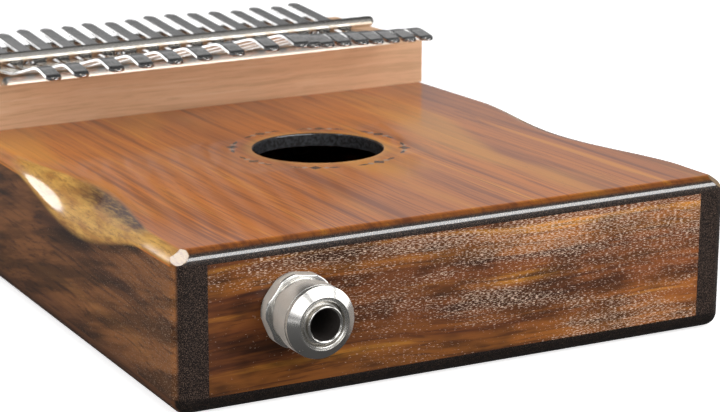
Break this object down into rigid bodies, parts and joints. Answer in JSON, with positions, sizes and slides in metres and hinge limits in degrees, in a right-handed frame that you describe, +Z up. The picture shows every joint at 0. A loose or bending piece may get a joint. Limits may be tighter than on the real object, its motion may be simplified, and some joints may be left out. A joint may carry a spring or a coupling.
{
  "type": "box mbira with tuned steel tines",
  "caption": "Box mbira: rectangular wooden sound box with hand scoops and sound hole, steel tines clamped over a wooden bridge, and an output jack in the player's end.",
  "frame": {"origin": "centre of the sound box's underside, on the surface the instrument rests on", "axes": "+X to the player's right across the tines, +Y from the player's end (output jack, free tine ends) to the far end, +Z up out of the top plate"},
  "size_m": [0.134, 0.1979, 0.0615],
  "materials": {
    "koa": "clear gloss lacquer over straight-grained figured red-brown wood",
    "dark_koa": "clear gloss lacquer over dark streaked wood, end grain almost black",
    "pale_wood": "unfinished, fine sanded",
    "polished_rod": "ground and polished round stock",
    "tine_steel": "spring steel, bright with fine lengthwise grinding marks",
    "nickel": "polished nickel plate with fine turning marks",
    "black_plastic": "moulded",
    "brass": "rolled sheet",
    "ceramic": "silvered ceramic wafer",
    "cable": "flexible sheath"
  },
  "bodies": {
    "box": {"top_plate": "koa", "back_plate": "koa", "side_left": "dark_koa", "side_right": "dark_koa", "end_panel_front": "koa", "end_panel_rear": "koa", "bridge_block": "pale_wood", "bridge_brace": "pale_wood", "front_bridge_rod": "polished_rod", "rear_bridge_rod": "polished_rod", "pressure_rod": "polished_rod", "pressure_bolts": "tine_steel", "tine_tails": "tine_steel", "jack_barrel": "nickel", "jack_hex_nut": "nickel", "jack_spacer": "nickel", "jack_cap_nut": "nickel", "jack_inner_washer": "nickel", "jack_inner_nut": "nickel", "jack_housing": "black_plastic", "piezo_disc": "brass", "piezo_ceramic": "ceramic", "pickup_cable": "cable"},
    "tine_01_blade": {"tine_01": "tine_steel"},
    "tine_02_blade": {"tine_02": "tine_steel"},
    "tine_03_blade": {"tine_03": "tine_steel"},
    "tine_04_blade": {"tine_04": "tine_steel"},
    "tine_05_blade": {"tine_05": "tine_steel"},
    "tine_06_blade": {"tine_06": "tine_steel"},
    "tine_07_blade": {"tine_07": "tine_steel"},
    "tine_08_blade": {"tine_08": "tine_steel"},
    "tine_09_blade": {"tine_09": "tine_steel"},
    "tine_10_blade": {"tine_10": "tine_steel"},
    "tine_11_blade": {"tine_11": "tine_steel"},
    "tine_12_blade": {"tine_12": "tine_steel"},
    "tine_13_blade": {"tine_13": "tine_steel"},
    "tine_14_blade": {"tine_14": "tine_steel"},
    "tine_15_blade": {"tine_15": "tine_steel"},
    "tine_16_blade": {"tine_16": "tine_steel"},
    "tine_17_blade": {"tine_17": "tine_steel"},
    "jack_contact": {"jack_tip_spring": "brass"}
  },
  "joints": [
    {"name": "tine_01_flex", "type": "hinge", "parent": "box", "child": "tine_01_blade", "pos_m": [-0.05296, 0.0326, 0.04879], "axis": [1, 0, 0], "range_deg": [-1.5, 2.5], "stiffness_Nm_per_rad": 0.104},
    {"name": "tine_02_flex", "type": "hinge", "parent": "box", "child": "tine_02_blade", "pos_m": [-0.04634, 0.0326, 0.04879], "axis": [1, 0, 0], "range_deg": [-1.5, 2.5], "stiffness_Nm_per_rad": 0.126},
    {"name": "tine_03_flex", "type": "hinge", "parent": "box", "child": "tine_03_blade", "pos_m": [-0.03972, 0.0326, 0.04879], "axis": [1, 0, 0], "range_deg": [-1.5, 2.5], "stiffness_Nm_per_rad": 0.232},
    {"name": "tine_04_flex", "type": "hinge", "parent": "box", "child": "tine_04_blade", "pos_m": [-0.0331, 0.0326, 0.04879], "axis": [1, 0, 0], "range_deg": [-1.5, 2.5], "stiffness_Nm_per_rad": 0.294},
    {"name": "tine_05_flex", "type": "hinge", "parent": "box", "child": "tine_05_blade", "pos_m": [-0.02648, 0.0326, 0.04879], "axis": [1, 0, 0], "range_deg": [-1.5, 2.5], "stiffness_Nm_per_rad": 0.362},
    {"name": "tine_06_flex", "type": "hinge", "parent": "box", "child": "tine_06_blade", "pos_m": [-0.01986, 0.0326, 0.04879], "axis": [1, 0, 0], "range_deg": [-1.5, 2.5], "stiffness_Nm_per_rad": 0.433},
    {"name": "tine_07_flex", "type": "hinge", "parent": "box", "child": "tine_07_blade", "pos_m": [-0.01324, 0.0326, 0.04879], "axis": [1, 0, 0], "range_deg": [-1.5, 2.5], "stiffness_Nm_per_rad": 0.57},
    {"name": "tine_08_flex", "type": "hinge", "parent": "box", "child": "tine_08_blade", "pos_m": [-0.00662, 0.0326, 0.04879], "axis": [1, 0, 0], "range_deg": [-1.5, 2.5], "stiffness_Nm_per_rad": 0.783},
    {"name": "tine_09_flex", "type": "hinge", "parent": "box", "child": "tine_09_blade", "pos_m": [0, 0.0326, 0.04879], "axis": [1, 0, 0], "range_deg": [-1.5, 2.5], "stiffness_Nm_per_rad": 0.904},
    {"name": "tine_10_flex", "type": "hinge", "parent": "box", "child": "tine_10_blade", "pos_m": [0.00662, 0.0326, 0.04879], "axis": [1, 0, 0], "range_deg": [-1.5, 2.5], "stiffness_Nm_per_rad": 0.622},
    {"name": "tine_11_flex", "type": "hinge", "parent": "box", "child": "tine_11_blade", "pos_m": [0.01324, 0.0326, 0.04879], "axis": [1, 0, 0], "range_deg": [-1.5, 2.5], "stiffness_Nm_per_rad": 0.448},
    {"name": "tine_12_flex", "type": "hinge", "parent": "box", "child": "tine_12_blade", "pos_m": [0.01986, 0.0326, 0.04879], "axis": [1, 0, 0], "range_deg": [-1.5, 2.5], "stiffness_Nm_per_rad": 0.352},
    {"name": "tine_13_flex", "type": "hinge", "parent": "box", "child": "tine_13_blade", "pos_m": [0.02648, 0.0326, 0.04879], "axis": [1, 0, 0], "range_deg": [-1.5, 2.5], "stiffness_Nm_per_rad": 0.284},
    {"name": "tine_14_flex", "type": "hinge", "parent": "box", "child": "tine_14_blade", "pos_m": [0.0331, 0.0326, 0.04879], "axis": [1, 0, 0], "range_deg": [-1.5, 2.5], "stiffness_Nm_per_rad": 0.202},
    {"name": "tine_15_flex", "type": "hinge", "parent": "box", "child": "tine_15_blade", "pos_m": [0.03972, 0.0326, 0.04879], "axis": [1, 0, 0], "range_deg": [-1.5, 2.5], "stiffness_Nm_per_rad": 0.15},
    {"name": "tine_16_flex", "type": "hinge", "parent": "box", "child": "tine_16_blade", "pos_m": [0.04634, 0.0326, 0.04879], "axis": [1, 0, 0], "range_deg": [-1.5, 2.5], "stiffness_Nm_per_rad": 0.11},
    {"name": "tine_17_flex", "type": "hinge", "parent": "box", "child": "tine_17_blade", "pos_m": [0.05296, 0.0326, 0.04879], "axis": [1, 0, 0], "range_deg": [-1.5, 2.5], "stiffness_Nm_per_rad": 0.0826},
    {"name": "jack_contact_flex", "type": "hinge", "parent": "box", "child": "jack_contact", "pos_m": [-0.0402, -0.0675, 0.0245], "axis": [-1, 0, 0], "range_deg": [0, 8], "stiffness_Nm_per_rad": 0.001}
  ]
}
